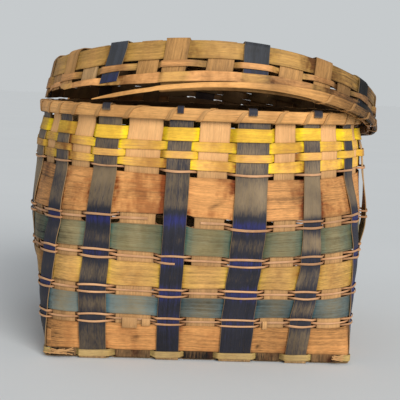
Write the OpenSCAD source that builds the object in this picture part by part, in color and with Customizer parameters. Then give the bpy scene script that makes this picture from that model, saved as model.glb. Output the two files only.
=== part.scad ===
// Lidded splint basket: a rectangular checker-woven foot that turns round at the belly and rim,
// woven from long crossing splints with wide, narrow and medium weavers, and a woven cap lid.

/* [Basket shape] */
// Width of the foot, left to right
foot_w = 318; // [306:1:330]
// Depth of the foot, front to back
foot_d = 304; // [290:1:318]
// Corner radius of the foot
foot_r = 5; // [4:0.5:7]
// Diameter of the wall at the rim
rim_dia = 363; // [352:1:374]
// Width of the belly over the rim's diameter
belly_over_w = 12.5; // [6:0.5:18]
// Depth of the belly over the rim's diameter
belly_over_d = -5; // [-10:0.5:2]
// Sideways bow of the wall, to the left, between foot and rim
sway = 2.3; // [0:0.1:4]

/* [Splints] */
// Thickness of a wide splint
splint_t = 1.0; // [0.8:0.05:1.2]
// Thickness of a narrow weaver
narrow_t = 0.7; // [0.5:0.05:0.8]
// Room between splints that cross
weave_gap = 0.3; // [0.25:0.05:0.5]
// Room between neighbouring weavers, up and down
row_gap = 0.5; // [0.4:0.1:0.8]
// Rise of the fold from the base into the wall
fold = 2.5; // [2:0.1:3]
// Share of the rim's length that the front uprights take, and as much at the back
front_share = 0.281; // [0.276:0.001:0.284]
// Gap between the front and side uprights at the rim
corner_gap = 9.5; // [8:0.5:12]
// Share by which the front uprights spread at the belly
front_open = 0.03; // [0.01:0.01:0.04]
// Turn of the uprights round the wall as they rise, to the right in front
turn_out = 6.5; // [4:0.5:8]

/* [Rows of the wall] */
// Height of the base weaver
base_row_h = 6.7; // [5:0.1:8]
// Height of the lower natural weaver
low_natural_h = 29; // [24:0.5:34]
// Height of the teal weaver
teal_h = 21.5; // [18:0.5:26]
// Height of the wide yellow weaver
yellow_h = 24.5; // [20:0.5:30]
// Height of the green weaver
green_h = 25.5; // [20:0.5:30]
// Height of the upper natural weaver
high_natural_h = 45.5; // [38:0.5:52]
// Width of a narrow weaver
narrow_w = 2.8; // [2.2:0.1:3.2]
// Open gap under the single narrow weaver below the yellow rows
open_gap = 3.8; // [2:0.1:6]
// Heights of the four medium yellow weavers, upwards
medium_h = [9.5, 7.5, 9, 13];
// Open height of the uprights between the last yellow weaver and the rim
rim_gap = 5; // [3:0.5:7]

/* [Rim] */
// Height of the rim hoops
hoop_h = 12; // [9:0.5:15]
// Thickness of a rim hoop
hoop_t = 2.6; // [2:0.1:3.2]
// Width of the lashing splint
lash_w = 4.6; // [3:0.1:5.2]
// Thickness of the lashing splint
lash_t = 0.8; // [0.6:0.05:1]

/* [Lid] */
// Radius of the lid's wall over that of the rim's wall
lid_over = 10.5; // [10:0.1:12]
// Height of the lid, from its lower edge to its top splints
lid_h = 51; // [47:0.5:56]
// Height of the lid's narrow weaver
lid_narrow_h = 6.2; // [5:0.1:7]
// Open height between the lid's narrow weaver and its edge weaver
lid_gap = 3; // [2:0.5:5]
// Height of the lid's edge weaver
lid_edge_h = 8; // [6:0.5:9]
// Height of the lid's hoops
lid_hoop_h = 11.5; // [9.5:0.5:12.5]
// Slope of the lid, down to the right
lid_slope_x = 0.03; // [0.02:0.005:0.04]
// Slope of the lid, up to the front
lid_slope_y = 0.065; // [0.05:0.005:0.08]
// Twist of the lid out of flat
lid_warp = 0.047; // [0.03:0.001:0.05]
// Bow of the lid, down at its left and right
lid_bow = 0.07; // [0.05:0.005:0.08]
// Share by which the lid's wall is lower on the right and higher on the left
lid_fall = 0.23; // [0.15:0.01:0.25]
// Drop of the sprung end of the lid's outer hoop
sprung_drop = 13; // [9:0.5:15]

/* [Hidden] */
// Widths of the front uprights, left to right, and their shift to the right at the foot
front_widths = [27, 28, 37, 23.5, 30.5, 34, 24.5, 22.5, 28.5];
front_shift = -3;
// Widths of the side uprights, front to back
side_widths = [22, 20, 30, 36, 36, 34, 26];
// Widths of the lid's splints, the same both ways, and the gaps between them in its flat top
lid_widths = [24, 23, 27, 26, 27, 24, 23, 22];
lid_flat_gap = 4;
// Belly, the share of the height at which it is widest, and how soon the sway sets in
belly_w = rim_dia + belly_over_w;
belly_d = rim_dia + belly_over_d;
belly_at = 0.75;
sway_rise = 0.7;
// Layers: distance between the middles of two splints that cross
pitch = splint_t + weave_gap;
// Distance of a weaver's middle from the wall where it passes outside or inside an upright
pass_out = 2 * pitch;
// Weavers in a narrow band, and the heights of a band of three and of one
band_count = 3;
band_h = band_count * (narrow_w + row_gap) + row_gap;
single_band_h = open_gap + narrow_w + row_gap;
// Room for the lashing under the hoops, and how far it keeps its width between two uprights
lash_room = lash_t + 2 * weave_gap;
lash_squeeze = 1.3;
// Heights of the row edges
foot_z = splint_t / 2 + fold;
low_natural_z = foot_z + weave_gap + base_row_h + row_gap;
teal_z = low_natural_z + low_natural_h + band_h;
yellow_z = teal_z + teal_h + band_h;
green_z = yellow_z + yellow_h + band_h;
high_natural_z = green_z + green_h + band_h;
medium_z = high_natural_z + high_natural_h + single_band_h;
function sum_to(list, n) = n == 0 ? 0 : list[n - 1] + sum_to(list, n - 1);
medium_count = len(medium_h);
function medium_low(i) = medium_z + sum_to(medium_h, i) + i * row_gap;
medium_top = medium_low(medium_count) - row_gap;
medium_mid = medium_low(floor(medium_count / 2)) - row_gap / 2;
hoop_z = medium_top + rim_gap + lash_room;
rim_z = hoop_z + hoop_h;
// Distance of a hoop's near face from the wall
hoop_off = pitch + splint_t / 2 + weave_gap;

function lerp(a, b, t) = a + (b - a) * t;

// Plans are rounded rectangles: half width, half depth, corner radius and shift to the right
function plan_length(p) = 4 * (p[0] - p[2]) + 4 * (p[1] - p[2]) + 2 * PI * p[2];

// Point and outward direction on a plan at a share of its length, from the front middle to the right
function plan_point(p, share) =
    let (
        s = share - round(share),
        u = abs(s) * plan_length(p),
        side = s < 0 ? -1 : 1,
        r = p[2],
        sx = p[0] - r,
        sy = p[1] - r,
        q = PI * r / 2,
        front = (u - sx) / r * 180 / PI,
        back = (u - sx - q - 2 * sy) / r * 180 / PI
    )
    [p[3], 0, 0, 0] + (
        u <= sx ? [side * u, -p[1], 0, -1]
        : u <= sx + q
        ? [side * (sx + r * sin(front)), -sy - r * cos(front), side * sin(front), -cos(front)]
        : u <= sx + q + 2 * sy ? [side * p[0], u - sx - q - sy, side, 0]
        : u <= sx + 2 * q + 2 * sy
        ? [side * (sx + r * cos(back)), sy + r * sin(back), side * cos(back), sin(back)]
        : [side * (2 * sx + 2 * q + 2 * sy - u), p[1], 0, 1]
    );

// Swell of the wall: it leaves the foot gently, rounds into the belly and draws in to the rim
function swell(up) = (sin(90 * up) + (1 - cos(180 * up)) / 2) / 2;
function bulge(up, in, foot, belly, rim) = lerp(lerp(foot, belly, swell(up)), rim, pow(in, 3));

// Share of the wall's height
function rise_share(z) = (z - foot_z) / (rim_z - foot_z);

// Plan of the wall at a height: the corners round out from the foot to the belly
function wall_plan(z) =
    let (
        belly_z = belly_at * rim_z,
        up = min(max((z - low_natural_z) / (belly_z - low_natural_z), 0), 1),
        in = min(max((z - belly_z) / (medium_top - belly_z), 0), 1),
        a = bulge(up, in, foot_w, belly_w, rim_dia) / 2,
        b = bulge(up, in, foot_d, belly_d, rim_dia) / 2
    )
    [a, b, lerp(foot_r, min(a, b), up), -sway * sin(180 * pow(rise_share(z), sway_rise))];

// Heights at which the wall bends; it stands straight up in each narrow band, at the foot and at the rim
wall_z = [
    foot_z, low_natural_z,
    low_natural_z + low_natural_h, teal_z,
    teal_z + teal_h, yellow_z,
    yellow_z + yellow_h, green_z,
    green_z + green_h, high_natural_z,
    high_natural_z + high_natural_h, medium_z,
    medium_mid, medium_top, rim_z
];
// Heights that set the plan at those bends
wall_ref = [
    foot_z, foot_z, teal_z, teal_z, yellow_z, yellow_z, green_z, green_z,
    high_natural_z, high_natural_z, medium_z, medium_z, medium_mid, rim_z, rim_z
];
wall_plans = [for (z = wall_ref) wall_plan(z)];

// Middles of splints laid side by side with even gaps over a length
function laid(widths, length) =
    let (
        n = len(widths),
        gap = (length - sum_to(widths, n)) / (n - 1)
    )
    [for (i = [0:n - 1]) sum_to(widths, i) + widths[i] / 2 + i * gap - length / 2];

// Places of the uprights along the foot, and along the rim, where they close up to fit its length
front_n = len(front_widths);
side_n = len(side_widths);
rim_length = PI * rim_dia;
front_foot = foot_w - 2 * foot_r + 2 * front_shift;
front_rim = front_share * rim_length - corner_gap;
side_foot = foot_d - 2 * foot_r;
side_rim = (0.5 - front_share) * rim_length - corner_gap;
front_x = [for (x = laid(front_widths, front_foot)) x + front_shift];
front_rim_x = [for (x = laid(front_widths, front_rim)) x + front_shift];
side_y = laid(side_widths, side_foot);
side_rim_y = laid(side_widths, side_rim);

// Uprights in order round the wall: side of the plan, places along it at the foot and the rim, width
function round_order(xs, xr, xw, ys, yr, yw) = concat(
    [for (i = [0:len(xs) - 1]) [0, xs[i], xr[i], xw[i]]],
    [for (j = [0:len(ys) - 1]) [1, ys[j], yr[j], yw[j]]],
    [for (i = [len(xs) - 1:-1:0]) [2, -xs[i], -xr[i], xw[i]]],
    [for (j = [len(ys) - 1:-1:0]) [3, -ys[j], -yr[j], yw[j]]]
);

// Both edges of every upright at every bend of a wall, as points with their outward directions
function edge_table(plans, order, spreads) = [
    for (k = [0:len(plans) - 1]) [
        for (u = order, half = [-0.5, 0.5])
            let (
                open = spreads[k][1 + u[0] % 2],
                middle = lerp(u[1], u[2] * open, spreads[k][0]) + spreads[k][3]
            )
            plan_point(plans[k], u[0] / 4 + (middle + half * u[3]) / plan_length(plans[k]))
    ]
];

// A wall is its bend heights and its edge table. Its spreads at each bend are how far the uprights have
// settled into their places at the rim, by half height, how far they open there in front and at the
// sides, and their turn round the wall.
function settled(z) = min(1, 2 * rise_share(z));
wall_spreads = [
    for (k = [0:len(wall_ref) - 1])
        let (
            z = wall_ref[k],
            front = 1 + front_open * sin(180 * rise_share(z)),
            side = plan_length(wall_plans[k]) / rim_length
        )
        [settled(z), front, side, turn_out * settled(z)]
];
wall_order = round_order(front_x, front_rim_x, front_widths, side_y, side_rim_y, side_widths);
wall = [wall_z, edge_table(wall_plans, wall_order, wall_spreads)];

function is_over(n) = n % 2 == 1;
function upright_off(n) = is_over(n) ? pitch : -pitch;

// Point of a wall at an upright's edge, a height and a distance out of the wall
function wall_point(w, edge, z, off) =
    let (
        count = len(w[1][0]),
        e = (edge + count) % count,
        k = max([for (i = [0:len(w[0]) - 2]) if (i == 0 || w[0][i] <= z + 0.001) i]),
        t = (z - w[0][k]) / (w[0][k + 1] - w[0][k]),
        m = lerp(w[1][k][e], w[1][k + 1][e], t)
    )
    [m[0] + off * m[2], m[1] + off * m[3], z];

// The basket stands as it is modelled, and its uprights end just below the rim's top
function stand(p) = p;
upright_end = rim_z - weave_gap;

// Splint through four-cornered sections; slant picks the diagonal that folds each outer and inner face
module ribbon(sections, closed, slant) {
    n = len(sections);
    points = [for (s = sections) each s];
    last = closed ? n - 1 : n - 2;
    function corner(i, j) = (i % n) * 4 + j % 4;
    function split(a, b, c, d, first) = first ? [[a, b, c], [a, c, d]] : [[a, b, d], [b, c, d]];
    sides = [
        for (i = [0:last], j = [0:3])
            let (
                near = [corner(i, j), corner(i, j + 1)],
                far = [corner(i + 1, j), corner(i + 1, j + 1)]
            )
            each split(near[0], near[1], far[1], far[0], (j == 3) != slant)
    ];
    start = [[3, 2, 1], [3, 1, 0]];
    end = [for (f = [[0, 1, 2], [0, 2, 3]]) [for (j = f) corner(n - 1, j)]];
    polyhedron(points, closed ? sides : concat(sides, start, end), convexity = 10);
}

// Section of a weaver at one edge of an upright
function weaver_section(w, place, edge, low, high, off, t) = [
    place(wall_point(w, edge, low, off - t / 2)),
    place(wall_point(w, edge, low, off + t / 2)),
    place(wall_point(w, edge, high, off + t / 2)),
    place(wall_point(w, edge, high, off - t / 2))
];

// Weaver round a wall; waved ones pass outside the uprights that stand out and inside the others
module weaver(w, place, low, high, t, waved) {
    count = len(w[1][0]);
    sections = [
        for (e = [0:count - 1])
            let (off = waved ? 2 * upright_off(floor(e / 2)) : 0)
            weaver_section(w, place, e, low, high, off, t)
    ];
    ribbon(sections, true, true);
}

// Outline through every edge of a wall at a height and a distance out of the wall
function outline(w, z, offs) = [
    for (e = [0:len(w[1][0]) - 1])
        let (p = wall_point(w, e, z, offs[floor(e / 2) % 2]))
        [p[0], p[1]]
];

// Upright weaver or hoop between two outlines; offs are its middles on the inner and outer uprights
module ring(w, low, high, offs, t) {
    mid = (low + high) / 2;
    translate([0, 0, low])
        linear_extrude(high - low)
            difference() {
                polygon(outline(w, mid, [for (d = offs) d + t / 2]));
                polygon(outline(w, mid, [for (d = offs) d - t / 2]));
            }
}

// Section of an upright splint across a wall, for its left edge, right edge and height
function upright_section(w, place, left, right, z, off) = [
    place(wall_point(w, left, z, off - splint_t / 2)),
    place(wall_point(w, left, z, off + splint_t / 2)),
    place(wall_point(w, right, z, off + splint_t / 2)),
    place(wall_point(w, right, z, off - splint_t / 2))
];

// Section of a crossing splint in the flat weave, for its two long edges and a place along it
function flat_section(place, along_y, left, right, v, z) =
    let (
        low = z - splint_t / 2,
        high = z + splint_t / 2
    )
    along_y
    ? [place([left, v, high]), place([left, v, low]), place([right, v, low]), place([right, v, high])]
    : [place([v, left, high]), place([v, left, low]), place([v, right, low]), place([v, right, high])];

// Long splint: down one wall, over and under the splints that cross it, and up the far wall.
// near and far are its numbers round the wall, index its place among its neighbours, middles and
// widths those of its neighbours and of the splints that cross them, and end(n) its height there.
module crossing_splint(w, place, along_y, near, far, index, middles, widths, crossed, crossed_w, end) {
    z = w[0];
    low_layer = splint_t / 2;
    turn = along_y ? 1 : -1;
    axis = along_y ? 1 : 0;
    near_wall = [for (k = [len(z) - 1:-1:0]) min(z[k], end(near))];
    near_foot = wall_point(w, 2 * near, z[0], upright_off(near));
    near_foot_r = wall_point(w, 2 * near + 1, z[0], upright_off(near));
    far_foot = wall_point(w, 2 * far + 1, z[0], upright_off(far));
    far_foot_r = wall_point(w, 2 * far, z[0], upright_off(far));
    left = middles[index] - widths[index] / 2;
    right = middles[index] + widths[index] / 2;
    n = len(crossed);
    steps = along_y ? [for (c = [0:n - 1]) c] : [for (c = [n - 1:-1:0]) c];
    function layer(c) = low_layer + ((index + c + axis) % 2) * pitch;
    near_z = layer(steps[0]);
    far_z = layer(steps[n - 1]);
    near_end = flat_ends(place, along_y, near_foot, near_foot_r, turn * fold, near_z);
    far_end = flat_ends(place, along_y, far_foot, far_foot_r, -turn * fold, far_z);
    sections = concat(
        [for (k = near_wall) upright_section(w, place, 2 * near, 2 * near + 1, k, upright_off(near))],
        [near_end],
        [
            for (c = steps, half = [-0.5, 0.5])
                flat_section(place, along_y, left, right, crossed[c] + turn * half * crossed_w[c], layer(c))
        ],
        [far_end],
        [for (k = z) upright_section(w, place, 2 * far + 1, 2 * far, min(k, end(far)), upright_off(far))]
    );
    ribbon(sections, false, false);
}

// Section where the flat part starts to fold: it follows the slanted foot of the wall
function flat_ends(place, along_y, foot, foot_r, step, z) =
    let (
        low = z - splint_t / 2,
        high = z + splint_t / 2,
        a = along_y ? [foot[0], foot[1] + step] : [foot[0] + step, foot[1]],
        b = along_y ? [foot_r[0], foot_r[1] + step] : [foot_r[0] + step, foot_r[1]]
    )
    [
        place([a[0], a[1], high]), place([a[0], a[1], low]),
        place([b[0], b[1], low]), place([b[0], b[1], high])
    ];

// Point on the straight between two neighbouring edges of a wall, and the same moved along it
function between(w, edge, share, z, off, along) =
    let (
        a = wall_point(w, edge, z, off),
        b = wall_point(w, edge + 1, z, off)
    )
    lerp(a, b, share) + (b - a) / norm(b - a) * along;

// Section of the lashing where it turns round an edge of the hoops, for its half width
function lash_section(w, place, edge, share, half, z, off, out, up) =
    let (h = lash_t / 2)
    [
        place(between(w, edge, share, z - up * h, off - out * h, half)),
        place(between(w, edge, share, z + up * h, off + out * h, half)),
        place(between(w, edge, share, z + up * h, off + out * h, -half)),
        place(between(w, edge, share, z - up * h, off - out * h, -half))
    ];

// Half width of the lashing where it squeezes between two uprights
function lash_pass(w, edge, z) =
    let (gap = norm(wall_point(w, edge + 1, z, 0) - wall_point(w, edge, z, 0)))
    lash_squeeze * lash_w * gap / (lash_w + gap) / 2;

// Lashing that winds once round both hoops at each upright from first to last
module lashing(w, place, first, last, low, high) {
    reach = hoop_off + hoop_t + 2 * weave_gap + lash_t / 2;
    under = low - weave_gap - lash_t / 2;
    above = high + weave_gap + lash_t / 2;
    rise_to = 0.35;
    fall_from = 0.5;
    half = lash_w / 2;
    count = len(w[1][0]) / 2;
    sections = [
        for (n = [first:last])
            let (
                near = lash_pass(w, 2 * n - 1, under),
                far = lash_pass(w, 2 * n + 1, under)
            )
            each [
                lash_section(w, place, 2 * n - 1, 0.5, near, under, reach, 1, -1),
                lash_section(w, place, 2 * n, rise_to, half, above, reach, 1, 1),
                lash_section(w, place, 2 * n, fall_from, half, above, -reach, -1, 1),
                lash_section(w, place, 2 * n + 1, 0.5, far, under, -reach, -1, -1)
            ]
    ];
    ribbon(sections, last - first + 1 == count, false);
}

module front_upright(i) {
    color(is_over(i) ? "#3d4a66" : "#c99a66")
        crossing_splint(wall, function (p) stand(p), true, i, 2 * front_n + side_n - 1 - i, i,
            front_x, front_widths, side_y, side_widths, function (n) upright_end);
}

module side_upright(j) {
    color(is_over(front_n + j) ? "#3d4a66" : "#c99a66")
        crossing_splint(wall, function (p) stand(p), false, front_n + j, 2 * (front_n + side_n) - 1 - j, j,
            side_y, side_widths, front_x, front_widths, function (n) upright_end);
}

module base_weaver() {
    color("#c9b878")
        ring(wall, foot_z + weave_gap, foot_z + weave_gap + base_row_h, [-pass_out, pass_out], narrow_t);
}

module wide_weaver(low, height, tint) {
    color(tint)
        weaver(wall, function (p) stand(p), low, low + height, splint_t, false);
}

// Band of narrow weavers above a wide one: the first and last pass outside the standing-out uprights
module narrow_band(low, count, gap) {
    color("#c8a070")
        for (i = [0:count - 1]) {
            z = low + gap + i * (narrow_w + row_gap);
            offs = i % 2 == 0 ? [-pass_out, pass_out] : [0, 0];
            ring(wall, z, z + narrow_w, offs, narrow_t);
        }
}

module medium_weaver(i) {
    color("#d9b23c")
        weaver(wall, function (p) stand(p), medium_low(i), medium_low(i) + medium_h[i],
            splint_t, is_over(i));
}

module rim_hoop(off) {
    color("#bd8d58")
        ring(wall, hoop_z, rim_z, [off, off], hoop_t);
}

module rim_lashing() {
    color("#c59a68")
        lashing(wall, function (p) stand(p), 0, 2 * (front_n + side_n) - 1, hoop_z, rim_z);
}

// The lid is woven as a shallow basket upside down, then turned over and set askew on the rim
lid_n = len(lid_widths);
lid_r = rim_dia / 2 + lid_over;
lid_flare = 3;
lid_top_r = lid_r - lid_flare;
lid_plans = [for (r = [lid_top_r, lid_r]) [r, r, r, 0]];
lid_x = [for (i = [0:lid_n - 1]) ((i + 0.5) / lid_n - 0.5) * plan_length(lid_plans[0]) / 4];
lid_low_x = [for (x = lid_x) x * lid_r / lid_top_r];
lid_order = round_order(lid_x, lid_low_x, lid_widths, lid_x, lid_low_x, lid_widths);
lid_spreads = [[0, 1, 1, 0], [1, 1, 1, 0]];
lid_wall = [[foot_z, lid_h], edge_table(lid_plans, lid_order, lid_spreads)];
// The splints lie close in the woven middle of the top and fan out from it to the wall
lid_lines = laid(lid_widths, sum_to(lid_widths, lid_n) + (lid_n - 1) * lid_flat_gap);
// Place of the lid: its lower edge's middle, its turn and how far its top leans
lid_shift = [8.2, 5.3];
lid_turn = 4.6;
lid_lean = [0.15, 0.16];
// Its bare left edge rests on the rim's lashing
lid_rest = 0.5;
lid_left_z = rim_z + lash_room + lid_rest;
lid_z = lid_left_z - lid_r * (lid_slope_x - lid_bow) - (lid_hoop_h + lash_room) * (1 + lid_fall);
// Rows of the lid's wall, measured down from its top
lid_hoop_z = lid_h - lid_hoop_h;
lid_bare_z = lid_hoop_z - lash_room;
lid_edge_z = lid_bare_z - lid_edge_h;
lid_narrow_z = lid_edge_z - lid_gap - lid_narrow_h;
lid_wide_z = foot_z + weave_gap;
lid_wide_h = lid_narrow_z - row_gap - lid_wide_z;
// Uprights between which the lid's hoops and lashing still hold
hoop_first = -17.5;
hoop_last = 7;
held_first = -16;
inner_first = -13;
inner_last = 5;
lash_last = 1;
// Upright at which the outer hoop springs loose, how far its end leaves the wall, how much of it is
// split away, and the share of that on its upper edge
sprung_first = 1.2;
sprung_out = 4;
sprung_taper = 0.7;
sprung_upper = 0.25;

function lid_stand(p) =
    let (
        u = -p[0],
        x = u * cos(lid_turn) - p[1] * sin(lid_turn),
        y = u * sin(lid_turn) + p[1] * cos(lid_turn),
        h = (lid_h - p[2]) * (1 - lid_fall * x / lid_r),
        bent = (lid_warp * x * y + lid_bow * (x * x - y * y)) / lid_r
    )
    [
        lid_shift[0] + x + lid_lean[0] * h,
        lid_shift[1] + y + lid_lean[1] * h,
        lid_z - lid_slope_x * x - lid_slope_y * y - bent + h
    ];

// The lid's splints end inside the hoops, or level with the edge weaver where the hoops are lost
function has_hoops(n) = n <= inner_last || n >= held_first + 4 * lid_n;
function lid_end(n) = has_hoops(n) ? lid_h - weave_gap : lid_bare_z;

// Colours of the lid's splints: those that stand out of the wall are blue and natural in turn
function lid_tint(blue) = blue ? "#4a5468" : "#b98f5e";

module lid_front_splint(i) {
    color(lid_tint(i % 4 == 3))
        crossing_splint(lid_wall, function (p) lid_stand(p), true, i, 3 * lid_n - 1 - i, i,
            lid_lines, lid_widths, lid_lines, lid_widths, function (n) lid_end(n));
}

module lid_side_splint(j) {
    color(lid_tint(j % 4 == 0))
        crossing_splint(lid_wall, function (p) lid_stand(p), false, lid_n + j, 4 * lid_n - 1 - j, j,
            lid_lines, lid_widths, lid_lines, lid_widths, function (n) lid_end(n));
}

module lid_wide_weaver() {
    color("#ab8a55")
        weaver(lid_wall, function (p) lid_stand(p), lid_wide_z, lid_wide_z + lid_wide_h, splint_t, false);
}

module lid_narrow_weaver() {
    color("#bd9460")
        weaver(lid_wall, function (p) lid_stand(p), lid_narrow_z, lid_narrow_z + lid_narrow_h,
            splint_t, true);
}

module lid_edge_weaver() {
    color("#b98f5a")
        weaver(lid_wall, function (p) lid_stand(p), lid_edge_z, lid_bare_z, splint_t, false);
}

// Hoop of the lid over part of its edge; its last stretch may hang loose
module lid_hoop(first, last, off, drop) {
    function loose(e) = drop == 0 ? 0 : max(0, (e / 2 - sprung_first) / (last + 0.5 - sprung_first));
    sections = [
        for (e = [2 * first:2 * last + 1])
            let (
                u = loose(e),
                shift = [0, 0, drop * pow(u, 3)],
                split = sprung_taper * (1 - pow(1 - u, 3)) * lid_hoop_h,
                low = lid_hoop_z + sprung_upper * split,
                high = lid_h - (1 - sprung_upper) * split,
                corners = weaver_section(lid_wall, function (p) p, e, low, high,
                    off + sprung_out * u, hoop_t * (1 - sprung_taper * u))
            )
            [for (c = corners) lid_stand(c + shift)]
    ];
    ribbon(sections, false, true);
}

module lid_outer_hoop() {
    color("#b07f4e")
        lid_hoop(hoop_first, hoop_last, hoop_off + hoop_t / 2, sprung_drop);
}

module lid_inner_hoop() {
    color("#b07f4e")
        lid_hoop(inner_first, inner_last, -hoop_off - hoop_t / 2, 0);
}

module lid_lashing() {
    color("#b98f60")
        lashing(lid_wall, function (p) lid_stand(p), inner_first + 1, lash_last, lid_hoop_z, lid_h);
}

for (i = [1:front_n]) front_upright(i - 1);
for (j = [1:side_n]) side_upright(j - 1);
base_weaver();
wide_weaver(low_natural_z, low_natural_h, "#c8996a");  // low_natural_weaver
wide_weaver(teal_z, teal_h, "#7d8f8a");  // teal_weaver
wide_weaver(yellow_z, yellow_h, "#c8a050");  // wide_yellow_weaver
wide_weaver(green_z, green_h, "#8f9070");  // green_weaver
wide_weaver(high_natural_z, high_natural_h, "#c99a66");  // high_natural_weaver
narrow_band(low_natural_z + low_natural_h, band_count, row_gap);  // narrow_band_1
narrow_band(teal_z + teal_h, band_count, row_gap);  // narrow_band_2
narrow_band(yellow_z + yellow_h, band_count, row_gap);  // narrow_band_3
narrow_band(green_z + green_h, band_count, row_gap);  // narrow_band_4
narrow_band(high_natural_z + high_natural_h, 1, open_gap);  // narrow_band_5
for (i = [1:medium_count]) medium_weaver(i - 1);
rim_hoop(-hoop_off - hoop_t / 2);  // rim_inner_hoop
rim_hoop(hoop_off + hoop_t / 2);  // rim_outer_hoop
rim_lashing();
for (i = [1:lid_n]) lid_front_splint(i - 1);
for (j = [1:lid_n]) lid_side_splint(j - 1);
lid_wide_weaver();
lid_narrow_weaver();
lid_edge_weaver();
lid_inner_hoop();
lid_outer_hoop();
lid_lashing();
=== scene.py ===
"""Looks of a lidded splint basket: every splint bent through the weave, with its dye, grain and wear."""
import bisect
import math

import bmesh
import bpy
from mathutils import Matrix, Vector, noise


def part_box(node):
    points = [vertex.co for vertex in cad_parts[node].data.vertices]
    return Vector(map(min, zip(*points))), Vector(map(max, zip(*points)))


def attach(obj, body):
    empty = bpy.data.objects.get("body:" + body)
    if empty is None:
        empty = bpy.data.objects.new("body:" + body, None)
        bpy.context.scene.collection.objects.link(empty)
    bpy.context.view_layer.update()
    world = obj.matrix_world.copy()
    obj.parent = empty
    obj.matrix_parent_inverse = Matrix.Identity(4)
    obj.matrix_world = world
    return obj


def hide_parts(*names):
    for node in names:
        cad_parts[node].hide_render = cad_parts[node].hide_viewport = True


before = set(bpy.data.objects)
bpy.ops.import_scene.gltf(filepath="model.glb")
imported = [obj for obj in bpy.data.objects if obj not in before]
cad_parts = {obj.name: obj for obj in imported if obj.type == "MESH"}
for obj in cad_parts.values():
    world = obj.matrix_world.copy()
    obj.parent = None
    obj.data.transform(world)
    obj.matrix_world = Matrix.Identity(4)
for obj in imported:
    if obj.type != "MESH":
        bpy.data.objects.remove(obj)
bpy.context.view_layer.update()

MM = 0.001


def low(node):
    """Lowest height of a part of the frame, in millimetres."""
    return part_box(node)[0].z / MM


def high(node):
    """Highest height of a part of the frame, in millimetres."""
    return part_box(node)[1].z / MM


# Sizes of the weave, in millimetres
FOOT = (318, 304)
FOOT_R = 5
BELLY = (375.5, 358)
BELLY_AT = 0.75
RIM_DIA = 363
SWAY = 2.3
SWAY_RISE = 0.7
PITCH = 1.3
PASS = 2.6
FOLD = 2.5
LID_FOLD = 6
WEAVE_GAP = 0.3
ROW_GAP = 0.5
SPLINT_SOFT = 0.2
SPLINT_T = 1.0
NARROW_T = 0.7
HOOP_T = 2.6
LASH_T = 0.8
LASH_W = 5.4
HOOP_OFF = 3.4
LASH_OFF = 5.7
LASH_SQUARE = 0.42
LASH_STEPS = 28
UPRIGHT_STEP = 3.2
FLAT_STEP = 5
FRONT_WIDTHS = (27, 28, 37, 23.5, 30.5, 34, 24.5, 22.5, 28.5)
FRONT_SHIFT = -3
SIDE_WIDTHS = (22, 20, 30, 36, 36, 34, 26)
LID_WIDTHS = (24, 23, 27, 26, 27, 24, 23, 22)
LID_GAP = 4
FRONT_SHARE = 0.281
CORNER_GAP = 9.5
FRONT_OPEN = 0.03
TURN_OUT = 6.5

# Heights of the weave, read from the frame
FOOT_Z = low("base_weaver") - WEAVE_GAP
HOOP_Z = low("rim_outer_hoop")
RIM_Z = high("rim_outer_hoop")
WIDE_NODES = (
    "low_natural_weaver", "teal_weaver", "wide_yellow_weaver", "green_weaver",
    "high_natural_weaver")
WIDE_ROWS = [(low(node), high(node)) for node in WIDE_NODES]
ROW_Z = WIDE_ROWS[0][0]
MEDIUM_Z = low("yellow_weaver_1")
MEDIUM_MID = (high("yellow_weaver_2") + low("yellow_weaver_3")) / 2
MEDIUM_TOP = high("yellow_weaver_4")
BANDS = [(low(f"narrow_band_{i}") + high(f"narrow_band_{i}")) / 2 for i in range(1, 6)]

# The lid: its rows, its place on the rim and how it has sagged
LID_R = 192
LID_TOP_R = 189
LID_H = 51
LID_HOOP_Z = LID_H - 11.5
LID_WIDE = (3.3, 20.4)
LID_NARROW = (20.9, 27.1)
LID_EDGE = (30.1, 38.1)
LID_SHIFT = (8.2, 5.3)
LID_TURN = math.radians(4.6)
LID_LEAN = (0.15, 0.16)
LID_SLOPE = (0.03, 0.065)
LID_WARP = 0.047
LID_BOW = 0.07
LID_FALL = 0.23
LID_OVER_RIM = 1.9
LID_Z = RIM_Z + LID_OVER_RIM - LID_R * (LID_SLOPE[0] - LID_BOW) - (LID_H - LID_EDGE[1]) * (1 + LID_FALL)
HOOP_FIRST, HOOP_LAST, HELD_FIRST, INNER_FIRST, INNER_LAST, LASH_LAST = -17.5, 7, -16, -13, 5, 1
SPRUNG_FIRST, SPRUNG_OUT, SPRUNG_TAPER, SPRUNG_UPPER, SPRUNG_DROP = 1.2, 4, 0.7, 0.25, 9


def lerp(a, b, t):
    return a + (b - a) * t


def clamp(t):
    return min(max(t, 0.0), 1.0)


def ease(t):
    """Smooth step from 0 to 1."""
    t = clamp(t)
    return t * t * (3 - 2 * t)


def ripple(x, seed, size=1.0):
    """Even wandering value between -1 and 1 along x, different for every seed."""
    return noise.noise(Vector((x / size, seed * 7.31, seed * 3.17)))


def along_pairs(pairs, x):
    """Value at x, between pairs of places and values."""
    if x <= pairs[0][0]:
        return pairs[0][1]
    for (a, low_value), (b, high_value) in zip(pairs, pairs[1:]):
        if x <= b:
            return lerp(low_value, high_value, ease((x - a) / (b - a)))
    return pairs[-1][1]


# Plans of the walls: half width, half depth, corner radius, shift to the right


def plan_length(plan):
    a, b, r, _ = plan
    return 4 * (a - r) + 4 * (b - r) + math.tau * r


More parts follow.
